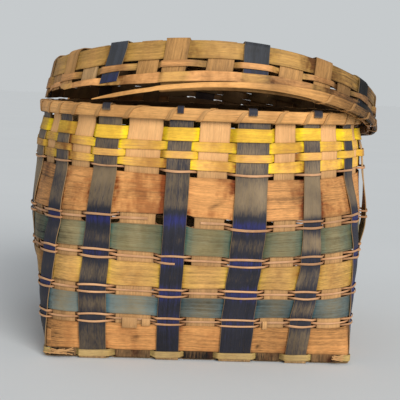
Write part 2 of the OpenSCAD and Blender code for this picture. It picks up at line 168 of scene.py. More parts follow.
def plan_point(plan, share):
    """Point and outward direction at a share of a plan's length, from the front middle to the right."""
    a, b, r, shift = plan
    s = share - round(share)
    side = -1 if s < 0 else 1
    u = abs(s) * plan_length(plan)
    sx, sy, q = a - r, b - r, math.pi * r / 2
    if u <= sx:
        x, y, nx, ny = u, -b, 0, -1
    elif u <= sx + q:
        t = (u - sx) / r
        x, y, nx, ny = sx + r * math.sin(t), -sy - r * math.cos(t), math.sin(t), -math.cos(t)
    elif u <= sx + q + 2 * sy:
        x, y, nx, ny = a, u - sx - q - sy, 1, 0
    elif u <= sx + 2 * q + 2 * sy:
        t = (u - sx - q - 2 * sy) / r
        x, y, nx, ny = sx + r * math.cos(t), sy + r * math.sin(t), math.cos(t), math.sin(t)
    else:
        x, y, nx, ny = 2 * sx + 2 * q + 2 * sy - u, b, 0, 1
    return shift + side * x, y, side * nx, ny


def rise_share(z):
    """Share of the basket's height."""
    return clamp((z - FOOT_Z) / (RIM_Z - FOOT_Z))


def wall_plan(z):
    """Plan of the basket's wall: square at the foot, round from the belly to the rim."""
    belly_z = BELLY_AT * RIM_Z
    up = clamp((z - ROW_Z) / (belly_z - ROW_Z))
    inward = clamp((z - belly_z) / (MEDIUM_TOP - belly_z))
    swell = (math.sin(math.pi / 2 * up) + (1 - math.cos(math.pi * up)) / 2) / 2
    a, b = (lerp(lerp(f, w, swell), RIM_DIA, inward ** 3) / 2 for f, w in zip(FOOT, BELLY))
    return a, b, lerp(FOOT_R, min(a, b), up), -SWAY * math.sin(math.pi * rise_share(z) ** SWAY_RISE)


def wall_spread(z):
    """How far the uprights have settled toward the rim, open in front and at the sides, and turn."""
    rise = rise_share(z)
    settled = min(1, 2 * rise)
    side = plan_length(wall_plan(z)) / (math.pi * RIM_DIA)
    return settled, 1 + FRONT_OPEN * math.sin(math.pi * rise), side, TURN_OUT * settled


def lid_plan(z):
    r = lerp(LID_TOP_R, LID_R, (z - FOOT_Z) / (LID_H - FOOT_Z))
    return r, r, r, 0


def lid_spread(z):
    return (z - FOOT_Z) / (LID_H - FOOT_Z), 1, 1, 0


def basket_stand(p):
    return p * MM


def lid_stand(p):
    """The lid is woven upside down; this turns it over and sets it askew on the rim."""
    cos, sin = math.cos(LID_TURN), math.sin(LID_TURN)
    x = -p.x * cos - p.y * sin
    y = -p.x * sin + p.y * cos
    h = (LID_H - p.z) * (1 - LID_FALL * x / LID_R)
    bent = (LID_WARP * x * y + LID_BOW * (x * x - y * y)) / LID_R
    rise = LID_Z - LID_SLOPE[0] * x - LID_SLOPE[1] * y - bent + h
    return Vector((LID_SHIFT[0] + x + LID_LEAN[0] * h, LID_SHIFT[1] + y + LID_LEAN[1] * h, rise)) * MM


def laid(widths, length):
    """Middles of splints laid side by side with even gaps over a length."""
    gap = (length - sum(widths)) / (len(widths) - 1)
    return [sum(widths[:i]) + w / 2 + i * gap - length / 2 for i, w in enumerate(widths)]


class Wall:
    """A woven wall: uprights in order round a plan that changes from bend to bend."""

    def __init__(self, fronts, sides, bends, plan, spread, stand, nudges):
        """Fronts and sides are places of the uprights at foot and rim, and widths; nudges shift some."""
        front = [(0, *upright) for upright in zip(*fronts)]
        right = [(1, *upright) for upright in zip(*sides)]
        back = [(2, -foot, -rim, width) for _, foot, rim, width in reversed(front)]
        left = [(3, -foot, -rim, width) for _, foot, rim, width in reversed(right)]
        self.order = front + right + back + left
        self.count = len(self.order)
        self.stand, self.nudges = stand, nudges
        self.bends = [z for z, _ in bends]
        self.rows = [(plan(ref), self.edges(z, plan_length(plan(ref)), spread(ref))) for z, ref in bends]

    def edges(self, z, length, spread):
        """Shares of a plan's length at both edges of every upright."""
        settled, turn = spread[0], spread[3]
        edges = []
        for n, (side, foot, rim, width) in enumerate(self.order):
            nudge = along_pairs(self.nudges[n], z) if n in self.nudges else 0.0
            along = lerp(foot, rim * spread[1 + side % 2], settled) + turn + nudge
            edges += [side / 4 + (along + half * width) / length for half in (-0.5, 0.5)]
        return edges

    def point(self, k, z, off):
        """Point at edge k, where 2n and 2n + 1 are upright n's edges, before it is stood in place."""
        row = min(max(bisect.bisect(self.bends, z) - 1, 0), len(self.bends) - 2)
        t = (z - self.bends[row]) / (self.bends[row + 1] - self.bends[row])
        t = lerp(t, ease(t), 0.5) if 0 < t < 1 else t
        i = math.floor(k)
        places = []
        for plan, edges in self.rows[row:row + 2]:
            ends = [edges[j % len(edges)] + j // len(edges) for j in (i, i + 1)]
            places.append(plan_point(plan, lerp(*ends, k - i)))
        x, y, nx, ny = (lerp(a, b, t) for a, b in zip(*places))
        return Vector((x + off * nx, y + off * ny, z))


BENDS = [(FOOT_Z, FOOT_Z), (ROW_Z, FOOT_Z)]
for (_, top), (above, _) in zip(WIDE_ROWS, WIDE_ROWS[1:] + [(MEDIUM_Z, MEDIUM_Z)]):
    BENDS += [(top, above), (above, above)]
BENDS += [(MEDIUM_MID, MEDIUM_MID), (MEDIUM_TOP, RIM_Z), (RIM_Z, RIM_Z)]

rim_length = math.pi * RIM_DIA
front_x = [x + FRONT_SHIFT for x in laid(FRONT_WIDTHS, FOOT[0] - 2 * FOOT_R + 2 * FRONT_SHIFT)]
front_rim_x = [x + FRONT_SHIFT for x in laid(FRONT_WIDTHS, FRONT_SHARE * rim_length - CORNER_GAP)]
side_y = laid(SIDE_WIDTHS, FOOT[1] - 2 * FOOT_R)
side_rim_y = laid(SIDE_WIDTHS, (0.5 - FRONT_SHARE) * rim_length - CORNER_GAP)
front_places, side_places = (front_x, front_rim_x, FRONT_WIDTHS), (side_y, side_rim_y, SIDE_WIDTHS)
basket_nudges = {
    1: ((10, -3), (75, -3), (110, 0)),
    7: ((150, 0), (200, 3.5), (240, 2)),
    31: ((10, 0), (60, 5), (95, 14), (140, 14), (200, 3), (245, 0)),
}
basket = Wall(front_places, side_places, BENDS, wall_plan, wall_spread, basket_stand, basket_nudges)

LID_N = len(LID_WIDTHS)
lid_x = [((i + 0.5) / LID_N - 0.5) * math.tau * LID_TOP_R / 4 for i in range(LID_N)]
lid_lines = laid(LID_WIDTHS, sum(LID_WIDTHS) + (LID_N - 1) * LID_GAP)
lid_places = lid_x, [x * LID_R / LID_TOP_R for x in lid_x], LID_WIDTHS
lid_bends = [(FOOT_Z, FOOT_Z), (LID_H, LID_H)]
lid_nudges = {3: ((3, 4), (LID_H, 0)), 5: ((3, 9), (LID_H, 8)), 7: ((3, 0), (LID_H, 6))}
lid = Wall(lid_places, lid_places, lid_bends, lid_plan, lid_spread, lid_stand, lid_nudges)


# Strips


def still(*_):
    """No change."""
    return 0.0


def whole(*_):
    """The full share."""
    return 1.0


def no_contact_shadow(*_):
    """No dark line of painted contact shadow, and few smudges."""
    return 0.0, 0.0


class Weave:
    """Bent strips gathered into one mesh, with a map of their grain and marks of their wear and of
    painted shade.
    """

    def __init__(self):
        self.bm = bmesh.new()
        self.grain = self.bm.loops.layers.uv.new("grain")
        layers = self.bm.verts.layers.float
        self.marks = {name: layers.new(name) for name in ("fresh", "edge", "tone", "stain", "bare")}
        self.weight = self.bm.verts.layers.deform.verify()

    def strip(
            self, sections, across, seed, fresh, contact_shadow_and_dirt=no_contact_shadow, tone=still, stain=whole, bare=still,
            closed=False, weights=None):
        """Bends a grid through sections of near, middle and far points.

        fresh(i) is how well the dye has lasted at a section, and contact_shadow_and_dirt(i) its dark
        line, painted contact shadow with dirt, and its smudges;
        tone(p), stain(p) and bare(p) are the shade, the stains and the bare wood at a point.
        """
        last = len(sections) - 1
        made = bmesh.ops.create_grid(self.bm, x_segments=last, y_segments=across, size=0.5)["verts"]
        run = [0.0]
        for before, after in zip(sections, sections[1:]):
            run.append(run[-1] + (after[1] - before[1]).length)
        shade = 0.16 * ((seed * 0.6180339) % 1 - 0.5)
        grid = {}
        for vert in made:
            i = round((vert.co.x + 0.5) * last)
            v = vert.co.y + 0.5
            near, middle, far = sections[i]
            shares = 2 * v * v - 3 * v + 1, 4 * v - 4 * v * v, 2 * v * v - v
            vert.co = near * shares[0] + middle * shares[1] + far * shares[2]
            vert[self.marks["fresh"]] = fresh(i)
            vert[self.marks["edge"]] = abs(2 * v - 1)
            line, smudge = contact_shadow_and_dirt(i)
            # The dark line darkens the tone as painted contact shadow with dirt; the smudges add stain.
            vert[self.marks["tone"]] = shade + tone(vert.co) - 0.22 * line
            vert[self.marks["stain"]] = stain(vert.co) * (0.7 + 0.8 * smudge)
            vert[self.marks["bare"]] = bare(vert.co)
            vert[self.weight][0] = weights[i] if weights else 1.0
            grid[vert] = run[i] + seed * 0.37, (v - 0.5) * (far - near).length + seed * 0.113
        for face in {f for vert in made for f in vert.link_faces}:
            for loop in face.loops:
                loop[self.grain].uv = grid[loop.vert]
        if closed:
            bmesh.ops.remove_doubles(self.bm, verts=made, dist=1e-6)

    def piece(self, node, body, slot, thick, soft=SPLINT_SOFT):
        """Turns the strips into one object of the given thickness, which stands for a part."""
        mesh = bpy.data.meshes.new(node + "_splint")
        self.bm.to_mesh(mesh)
        self.bm.free()
        mesh.shade_smooth()
        obj = bpy.data.objects.new(node + "_splint", mesh)
        bpy.context.scene.collection.objects.link(obj)
        obj.vertex_groups.new(name="thick")
        obj.data.materials.append(finishes[slot])
        solid = obj.modifiers.new("thickness", "SOLIDIFY")
        solid.thickness = thick * MM
        solid.offset = 0
        solid.vertex_group = "thick"
        round_edges = obj.modifiers.new("soft_edges", "BEVEL")
        round_edges.width = soft * MM
        round_edges.segments = 2
        round_edges.limit_method = "ANGLE"
        round_edges.angle_limit = math.radians(50)
        obj.modifiers.new("even_normals", "WEIGHTED_NORMAL")
        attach(obj, body)
        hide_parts(node)
        return obj


def placed(wall, sections):
    """Sections stood in place."""
    return [tuple(wall.stand(p) for p in section) for section in sections]


def ring_stops(first, last):
    """Places along a wall from one edge to another, close together where a weaver turns in or out."""
    stops = []
    for n in range(first, last):
        stops += [2 * n + t / 5 for t in range(5)] + [2 * n + 1 + t / 6 for t in range(6)]
    return stops + [2 * last]


def weaver(
        weave, wall, bottom, top, off, across, seed, lift=still, wander=0.3, crown=0.0, ends=None,
        exposed=0, lasting=0.0, **marks):
    """Weaver round a wall, closed unless it has ends; its dye lasts beside the uprights that cover it.

    off(k, z) is its distance from the wall's middle, lift(k, z) its rise, and exposed which uprights it
    covers itself.
    """
    first, last = ends or (0, 2 * wall.count)
    stops = [k for k in ring_stops(math.floor(first / 2), math.ceil(last / 2)) if first <= k <= last]
    sections = []
    for k in stops:
        turn = math.tau * k / (2 * wall.count)
        round_x, round_y = 9 * math.cos(turn), 9 * math.sin(turn)
        depths = [seed * 3.7 + shift for shift in (0, 50)]
        edges = [wander * noise.noise(Vector((round_x, round_y, depth))) for depth in depths]
        sway = 0.15 * noise.noise(Vector((round_x, round_y, seed + 90)))
        s = k % (2 * wall.count)
        heights = bottom + edges[0], (bottom + top) / 2 + sum(edges) / 2, top + edges[1]
        rows = []
        for z, bulge in zip(heights, (0, crown, 0)):
            rows.append(wall.point(s, z + lift(s, z), off(s, z) + sway + bulge))
        sections.append(tuple(rows))

    def fresh(i):
        n, f = divmod(stops[i], 2)
        middle = 0.5 if int(n) % 2 == exposed else (2.5 if f > 0.5 else -1.5)
        return lasting + clamp(abs(f - middle) / 1.5) ** 1.5

    # Dark line beside the edges of the covering uprights, painted contact shadow with dirt, and wider
    # smudges of dirt.
    def contact_shadow_and_dirt(i):
        n, f = divmod(stops[i], 2)
        beside = abs(f - 2) if int(n) % 2 == exposed else min(abs(f), abs(f - 1))
        if int(n) % 2 == exposed and f < 0.5:
            beside = f + 1
        return math.exp(-(beside / 0.14) ** 2), math.exp(-(beside / 0.55) ** 2)

    weave.strip(placed(wall, sections), across, seed, fresh, contact_shadow_and_dirt, closed=ends is None, **marks)


# Rise and fall of the rows across the front, in millimetres: height, then pairs of upright and rise
LIFTS = (
    (0, ((0, 0),)),
    (28, ((1, 0.6), (5, -0.6), (8, 0.4))),
    (50, ((-1, 0), (1, 1), (3, -2), (5, -1.5), (7, 1), (9, 0))),
    (82, ((-1, 0), (1, 0.6), (3, -2.5), (5, -1.7), (7, -0.5), (9, 0))),
    (116, ((-1, 1.5), (1, 3.5), (3, -1.3), (5, -2.8), (7, 2), (9, 2.5))),
    (151, ((-1, 1), (1, 3), (2, 5), (3, 5), (4, 2), (5, 0), (7, 2.5), (9, 4.5))),
    (199, ((-1, 0), (1, 0.3), (3, -2), (5, -4.3), (7, -3.6), (9, -1))),
    (219, ((-1, -1), (1, -2.6), (3, -1), (5, -3), (7, 0), (9, 1))),
    (239, ((-1, -1), (1, -2.4), (3, -0.9), (5, 0.3), (7, 3), (9, 2))),
    (262, ((0, 0),)),
)


def basket_lift(k, z):
    """Rise of the basket's rows at a place; the sides and back lie even."""
    n = (k - 0.5) / 2
    n = n - basket.count if n > basket.count - 5 else n
    here = clamp((n + 4) / 3) * clamp((13 - n) / 3)
    if here == 0:
        return 0.0
    levels = [(level, along_pairs(pairs, n)) for level, pairs in LIFTS]
    return here * along_pairs(levels, z)


# The loose upright at the right: its number, how far it bows out, and its loose stretch from and how tall
LOOSE, LOOSE_OUT, LOOSE_LOW, LOOSE_TALL = 11, 6.0, 50, 192


def loose_bow(k, z):
    """How far the loose upright at the right has bowed out, and the weavers that pass over it."""
    beside = clamp(1.6 - abs(k - 2 * LOOSE - 0.5))
    return LOOSE_OUT * ease(beside) * math.sin(math.pi * clamp((z - LOOSE_LOW) / LOOSE_TALL))


def upright_bow(n, z):
    """Slight swell of a covering upright over the wide weavers."""
    bow = 0.0
    if n % 2:
        for bottom, top in WIDE_ROWS:
            if bottom <= z <= top:
                bow = 0.5 * math.sin(math.pi * (z - bottom) / (top - bottom))
    return bow + (loose_bow(2 * n + 0.5, z) if n == LOOSE else 0.0)


# How well the blue has lasted: height and share, and the change of the more and less worn uprights
BLUE_LASTS = (
    (0, 0.47), (40, 0.46), (100, 0.42), (135, 0.36), (158, 0.2), (172, 0.08), (196, 0.1),
    (212, 0.24), (262, 0.26))
BAND_SHARES = (0.45, 0.75, 0.85, 1.1, 0.15)
BLUE_WEAR = {1: -0.2, 3: 0.06, 5: 0.0, 7: -0.26, 9: 0.15, 11: 0.1, 31: -0.05, 29: -0.1}
# Fresher and more worn patches of single uprights: height and change
BLUE_PATCHES = {
    1: ((128, 0.15), (148, 0.15), (176, 0.25), (222, 0.12)),
    3: ((178, 0.14), (222, -0.08)),
    5: ((132, -0.1), (222, -0.1)),
    7: ((222, 0.22),),
    31: ((178, 0.3),),
}


def blue_fresh(n, z):
    """How well the blue dye has lasted on an upright: best close to the bands."""
    level = z - basket_lift(2 * n + 0.5, z)
    near = max(math.exp(-((level - b) / 8.5) ** 2) * share for b, share in zip(BANDS, BAND_SHARES))
    patch = sum(share * math.exp(-((z - at) / 16) ** 2) for at, share in BLUE_PATCHES.get(n, ()))
    tip = 0.25 * ease((z - HOOP_Z - 6) / 4)
    worn = BLUE_WEAR.get(n, 0) * lerp(1, 0.5, ease((z - 196) / 10))
    return clamp(along_pairs(BLUE_LASTS, z) + worn + 0.55 * near + patch + tip)


def crossing(
        weave, wall, along_y, numbers, index, lines, widths, crossed, crossed_w, ends, seed, fold, bow,
        fresh, tip=(), **marks):
    """Long splint: down one wall, over and under the splints that cross it, and up the far wall.

    fold is the radius of its turn into the flat weave, fresh(n, z) how well its dye has lasted, and tip
    the sections beyond its end.
    """
    near, far = numbers
    turn, axis = (1, 1) if along_y else (-1, 0)
    half = widths[index] / 2
    steps = list(range(len(crossed)))[::turn]
    foot = FOOT_Z + fold - FOLD

    def layer(c):
        return SPLINT_T / 2 + ((index + c + axis) % 2) * PITCH

    def side(n, edges, z):
        off = (PITCH if n % 2 else -PITCH) + bow(n, z)
        jitter = [0.03 * ripple(z, seed + n * 2.1 + e, 30) for e in (0, 1)]
        cup = 0.35 * ripple(z, seed + n * 1.3, 50)
        a, b = edges
        places = (a + jitter[0], off), ((a + b) / 2, off + cup), (b + jitter[1], off)
        return tuple(wall.point(e, z, o) for e, o in places)

    def heights(n):
        count = max(4, round((ends(n) - foot) / UPRIGHT_STEP))
        return [lerp(foot, ends(n), i / count) for i in range(count + 1)]

    near_edges, far_edges = (2 * near, 2 * near + 1), (2 * far + 1, 2 * far)
    near_rows = [side(near, near_edges, z) for z in heights(near)]
    far_rows = [side(far, far_edges, z) for z in heights(far)]
    near_z, far_z = layer(steps[0]), layer(steps[-1])
    step = Vector((0, fold, 0)) if along_y else Vector((-fold, 0, 0))

    def folded(row, inward, flat_z):
        """Sections that turn from the foot of the wall into the flat weave."""
        rows = []
        for degrees in (18, 36, 54, 72, 90):
            t = math.radians(degrees)
            drop = Vector((0, 0, (flat_z - foot) * math.sin(t)))
            rows.append(tuple(p + inward * (1 - math.cos(t)) + drop for p in row))
        return rows

    near_fold = folded(near_rows[0], step, near_z)
    far_fold = folded(far_rows[0], -step, far_z)

    def flat(v, z):
        left, right = lines[index] - half, lines[index] + half
        ends_at = ((left, v), (right, v)) if along_y else ((v, left), (v, right))
        a, b = (Vector((*xy, z)) for xy in ends_at)
        return a, (a + b) / 2, b

    knots = [near_fold[-1]]
    for c in steps:
        knots += [flat(crossed[c] + turn * h * crossed_w[c], layer(c)) for h in (-0.5, 0.5)]
    knots.append(far_fold[-1])
    flats = []
    for before, after in zip(knots, knots[1:]):
        count = max(2, round((after[1] - before[1]).length / FLAT_STEP))
        for i in range(count):
            t = i / count
            row = [lerp(p, q, t) for p, q in zip(before, after)]
            for p, a, b in zip(row, before, after):
                p.z = lerp(a.z, b.z, ease(t))
            flats.append(tuple(row))
    sections = list(tip) + near_rows[::-1] + near_fold[:-1] + flats + far_fold[::-1] + far_rows
    turned = len(tip) + len(near_rows) + len(near_fold)

    def mark(i):
        return fresh(near if i < turned else far, sections[i][1].z)

    weave.strip(placed(wall, sections), 6, seed, mark, **marks)


def lashing(weave, wall, first, last, bottom, top, seed, closed, **marks):
    """Narrow splint that winds round both hoops, once at each upright."""
    middle, half = (bottom + top) / 2, (top - bottom) / 2 + 0.7
    sections = []
    for n in range(first, last + 1):
        for i in range(LASH_STEPS + (n == last)):
            degrees = -90 + 360 * i / LASH_STEPS
            t = math.radians(degrees)
            if degrees <= 45:
                k = lerp(-0.5, 0.35, (degrees + 90) / 135)
            elif degrees <= 135:
                k = lerp(0.35, 0.5, (degrees - 45) / 90)
            else:
                k = lerp(0.5, 1.5, (degrees - 135) / 135)
            off = LASH_OFF * math.copysign(abs(math.cos(t)) ** LASH_SQUARE, math.cos(t))
            z = middle + half * math.copysign(abs(math.sin(t)) ** LASH_SQUARE, math.sin(t))
            p = wall.point(2 * n + k, z, off)
            ahead = wall.point(2 * n + k + 0.05, z, off) - p
            ahead = ahead.normalized() * LASH_W / 2 * (1 + 0.2 * ripple(2 * n + k, seed, 3))
            sections.append((p + ahead, p, p - ahead))
    weave.strip(placed(wall, sections), 2, seed, lambda i: 0.5, closed=closed, **marks)


def hoop(weave, wall, stops, bottom, top, off, seed, crown, closed, loose=still, **marks):
    """Split hoop along a wall's edge, rounded on its outer face; its last stretch may hang loose."""
    sections, weights = [], []
    for k in stops:
        u = loose(k)
        tip = clamp((u - 0.9) / 0.1)
        split = lerp(SPRUNG_TAPER * (1 - (1 - u) ** 3), 0.94, tip) * (top - bottom)
        drop = Vector((0, 0, SPRUNG_DROP * u ** 1.1))
        out = off + SPRUNG_OUT * u
        wander = [0.35 * ripple(k, seed + e, 4) for e in (0, 1)]
        a = bottom + SPRUNG_UPPER * split + wander[0]
        b = top - (1 - SPRUNG_UPPER) * split + wander[1]
        rows = (wall.point(k, a, out), wall.point(k, (a + b) / 2, out + crown), wall.point(k, b, out))
        sections.append(tuple(p + drop for p in rows))
        weights.append(lerp(1 - SPRUNG_TAPER * u, 0.15, tip))
    if closed:
        sections[-1] = sections[0]
    weave.strip(placed(wall, sections), 5, seed, lambda i: 0.5, closed=closed, weights=weights, **marks)


# Finishes


class Wire:
    """Output of a shader node that can be reckoned with."""

    def __init__(self, paint, socket):
        self.paint, self.socket = paint, socket

    def _math(self, operation, a, b):
        return self.paint.node("ShaderNodeMath", {"operation": operation}, {0: a, 1: b})

    def __add__(self, other):
        return self._math("ADD", self, other)

    def __sub__(self, other):
        return self._math("SUBTRACT", self, other)

    def __rsub__(self, other):
        return self._math("SUBTRACT", other, self)

    def __mul__(self, other):
        return self._math("MULTIPLY", self, other)

    def __pow__(self, other):
        return self._math("POWER", self, other)

    __radd__ = __add__
    __rmul__ = __mul__


class Paint:
    """A material and the nodes that make it."""

    def __init__(self, name):
        self.material = bpy.data.materials.new(name)
        self.material.use_nodes = True
        self.tree = self.material.node_tree
        self.shader = self.tree.nodes["Principled BSDF"]

    def node(self, kind, settings=None, sockets=None, out=0):
        """Any node, from its type, its settings and the values or links of its sockets."""
        made = self.tree.nodes.new(kind)
        for name, value in (settings or {}).items():
            setattr(made, name, value)
        for name, value in (sockets or {}).items():
            if isinstance(value, Wire):
                self.tree.links.new(value.socket, made.inputs[name])
            else:
                made.inputs[name].default_value = value
        return Wire(self, made.outputs[out])

    def mix(self, share, a, b, blend="MIX"):
        """Colour between a and b."""
        settings = {"data_type": "RGBA", "blend_type": blend, "clamp_factor": True}
        return self.node("ShaderNodeMix", settings, {0: share, 6: a, 7: b}, out=2)

    def span(self, value, start, end):
        """Smooth step of a value from start to end."""
        settings = {"interpolation_type": "SMOOTHSTEP"}
        return self.node("ShaderNodeMapRange", settings, {0: value, 1: start, 2: end})

    def scaled(self, vector, scale):
        return self.node("ShaderNodeMapping", None, {"Vector": vector, "Scale": scale})

    def noise(self, vector, scale, detail, rough=0.5):
        sockets = {"Vector": vector, "Scale": scale, "Detail": detail, "Roughness": rough}
        return self.node("ShaderNodeTexNoise", None, sockets)

    def mark(self, name):
        return self.node("ShaderNodeAttribute", {"attribute_name": name}, None, out="Fac")

    def wire(self, socket, value):
        if isinstance(value, Wire):
            self.tree.links.new(value.socket, self.shader.inputs[socket])
        else:
            self.shader.inputs[socket].default_value = value


def colour(code):
    """Colour written as red, green and blue in hexadecimal, for the light it reflects."""
    parts = [int(code[i:i + 2], 16) / 255 for i in (0, 2, 4)]
    return [p / 12.92 if p <= 0.04045 else ((p + 0.055) / 1.055) ** 2.4 for p in parts] + [1.0]


BARE_WOOD = "c19a6a"
# Painted shade: splint faces turned toward the inside of the basket or lid get this dark colour.
INNER_PAINTED_SHADE = "3a2a1a"


def splint_finish(
        name, fresh, aged, worn, stain, streaky=1.0, blots=0.6, cut=None, inner=INNER_PAINTED_SHADE, rough=0.6):
    """Wood splint: dye that lasts where it is sheltered, with stains, fibres and inner faces in the inner
    colour, which is painted shade unless a splint's own bare wood is given.
    """
    paint = Paint(name)
    paint.shader.inputs["Specular IOR Level"].default_value = 0.25
    grain_map = paint.node("ShaderNodeUVMap", {"uv_map": "grain"})
    place = paint.node("ShaderNodeTexCoord", None, None, out="Object")
    facing = paint.node("ShaderNodeTexCoord", None, None, out="Normal")
    warp = (paint.noise(paint.scaled(grain_map, (18, 45, 1)), 1, 2) - 0.5) * 0.005
    shift = paint.node("ShaderNodeCombineXYZ", None, {"Y": warp})
    wavy = paint.node("ShaderNodeVectorMath", {"operation": "ADD"}, {0: grain_map, 1: shift})
    fibre = paint.noise(paint.scaled(wavy, (11, 850, 1)), 1, 3, 0.6) - 0.5
    streak = paint.noise(paint.scaled(wavy, (6, 330, 1)), 1, 3, 0.65) - 0.5
    vein = paint.noise(paint.scaled(wavy, (7, 75, 1)), 1, 2) - 0.5
    speck = paint.noise(paint.scaled(wavy, (140, 950, 1)), 1, 3, 0.65) - 0.5
    cloud = paint.noise(place, 26, 3) - 0.5
    patch = paint.noise(place, 9, 2) - 0.5
    smudge = paint.noise(paint.scaled(place, (27, 27, 15)), 1, 4, 0.6)
    mottle = paint.noise(paint.scaled(wavy, (75, 110, 1)), 1, 3, 0.65) - 0.5
    lasted = paint.mark("fresh") + cloud * 0.5 + streak * 0.4 + fibre * 0.35 + speck * 0.6
    tint = paint.mix(paint.span(lasted, -0.12, 0.45), colour(worn), colour(aged))
    tint = paint.mix(paint.span(lasted, 0.55, 1.0), tint, colour(fresh))
    stained = paint.span(smudge + mottle * 0.3 + vein * 0.2 + streak * 0.2, 0.44, 0.68)
    stained = stained * paint.mark("stain") * blots
    tint = paint.mix(stained, tint, colour(stain))
    fibres = fibre * 0.7 + streak * 1.0 + vein * 0.7 + speck * 0.8 + mottle * 0.4
    shade = 1 + paint.mark("tone") + patch * 0.5 + fibres * streaky
    tint = paint.mix(paint.mark("bare"), tint, colour(BARE_WOOD))
    # Darker toward the splints' long edges: painted shade between neighbouring splints, with dirt.
    tint = paint.mix(1.0, tint, shade * (1 - paint.mark("edge") ** 12 * 0.3), "MULTIPLY")
    if cut:
        tint = paint.mix(paint.span(paint.mark("edge"), 0.96, 1.0) * 0.8, tint, colour(cut))
    # Faces turned inward take the inner colour, painted shade for most splints and bare wood for the blue
    # ones; the bare stretch keeps its colour.
    outward = paint.scaled(place, (1, 1, 0))
    dot = {"operation": "DOT_PRODUCT"}
    turned = paint.node("ShaderNodeVectorMath", dot, {0: facing, 1: outward}, out="Value")
    inside = paint.span(turned, -0.02, -0.12) * (1 - paint.mark("bare")) * 0.85
    tint = paint.mix(inside, tint, colour(inner))
    paint.wire("Base Color", tint)
    paint.wire("Roughness", rough + fibre * 0.3)
    relief = {"Strength": 0.4, "Distance": 0.0005, "Height": fibre * 0.6 + streak}
    bump = paint.node("ShaderNodeBump", None, relief)
    paint.wire("Normal", bump)
    return paint.material


TAN_CUT = "a08058"
# Colours of fresh, aged and worn splints and of stains, and what differs from the usual looks
FINISHES = {
    "natural_splint": (("e0ac72", "deaa70", "e0ac74", "74401a"), {"streaky": 0.7, "blots": 0.3}),
    "blue_splint": (
        ("2a2c62", "2b2b34", "978162", "26262e"),
        {"streaky": 1.1, "blots": 0.35, "cut": TAN_CUT, "inner": "c09a68"}),
    "pale_yellow_splint": (("b8a060", "b2965c", "ac9060", "7a5c34"), {}),
    "natural_weaver": (("d69658", "dc9c5c", "e2a262", "7a3c14"), {"streaky": 1.4, "blots": 0.85}),
    "teal_splint": (
        ("48636a", "66706c", "948464", "5a5340"),
        {"streaky": 1.3, "blots": 0.5, "cut": TAN_CUT}),
    "wide_yellow_splint": (("dab044", "dcac5a", "dca864", "905822"), {"streaky": 1.3, "blots": 0.65}),
    "green_splint": (
        ("46665a", "707660", "9a8a62", "5f5630"),
        {"streaky": 1.4, "blots": 0.55, "cut": TAN_CUT}),
    "narrow_splint": (("a0704a", "be8c62", "d2a278", "7c5030"), {}),
    "yellow_splint": (("f6d41c", "ebba3e", "e0a85e", "8e5622"), {"streaky": 0.9, "blots": 0.65}),
    "rim_wood": (("d29c5a", "d09a5c", "ce985c", "8a5a2c"), {"streaky": 1.2, "blots": 0.6}),
    "lashing_splint": (("c69054", "ce9a5e", "d4a266", "8e6034"), {}),
    "lid_splint": (("b8884e", "ba8a52", "be8e56", "6d4a24"), {"streaky": 1.2, "blots": 0.7}),
    "lid_blue_splint": (
        ("2b3054", "3f4249", "5c584e", "2c2e36"),
        {"streaky": 1.2, "blots": 0.4, "cut": "94784e"}),
    "lid_weaver": (("b58a44", "bd904e", "cc935a", "684018"), {"streaky": 1.3, "blots": 0.8}),
    "lid_hoop_wood": (("c6904e", "ca9456", "d0985c", "6c4018"), {"streaky": 1.2, "blots": 0.6}),
}
finishes = {name: splint_finish(name, *colours, **looks) for name, (colours, looks) in FINISHES.items()}


# Basket


# Ends of blue splints turned down over the outer hoop: upright, and the share of its width
TIPS = {1: (0.28, 0.62), 3: (0.34, 0.6), 5: (0.26, 0.52), 7: (0.4, 0.92), 31: (0.45, 0.9)}
TIP_PATH = ((6.6, -5.2), (6.7, -2.6), (6.5, -0.2), (5.6, 1.3), (3.6, 1.8), (2.2, 1.3), (1.5, 0.2))


def rim_tip(n):
    """Sections of a splint's end, from its tip back to the top of the wall."""
    if n not in TIPS:
        return ()
    a, b = (2 * n + share for share in TIPS[n])
    rows = []
    for off, rise in TIP_PATH:
        rows.append(tuple(basket.point(k, RIM_Z + rise, off) for k in (a, (a + b) / 2, b)))
    return rows


# Frayed fibres at the front corners of the foot: upright, how many, edges and heights from and to
FRAYS = {0: (18, (-0.9, 1.4), (1.5, 14)), 8: (10, (0.6, 1.5), (1, 16))}


def fray(weave, n, seed):
    """Loose fibres of an upright's foot, lying along the wall."""
    count, (first, last), (bottom, top) = FRAYS[n]
    for i in range(count):
        at = [0.5 + 0.5 * ripple(i, seed + shift, 0.61) for shift in (0, 7, 13, 19)]
        start, end = lerp(first, last - 0.6, at[0]), lerp(first + 0.6, last, at[1])
        z_start, z_end = lerp(bottom, top, at[2]), lerp(bottom, top, at[3])
        rows = []
        for j in range(9):
            t = j / 8
            k = 2 * n + lerp(start, end, t)
            z = lerp(z_start, z_end, t) + 0.8 * ripple(t, seed + i, 0.3)
            out = 3.8 + 0.12 * i + 1.2 * math.sin(math.pi * t) * at[3]
            rows.append(tuple(basket.point(k, z + 0.45 * (h - 1), out) for h in range(3)))
        looks = {"tone": lambda p: 0.1, "weights": [0.5] * len(rows)}
        weave.strip(placed(basket, rows), 1, seed + i, lambda i: 0.5, **looks)


# Short ends of spliced splints in the lowest band: upright, edges and heights from and to
SPLICES = {2: (((4.2, 4.62), (35, 46.5)), ((4.75, 4.98), (38, 46))), 6: (((12.1, 12.3), (38, 46.5)),)}


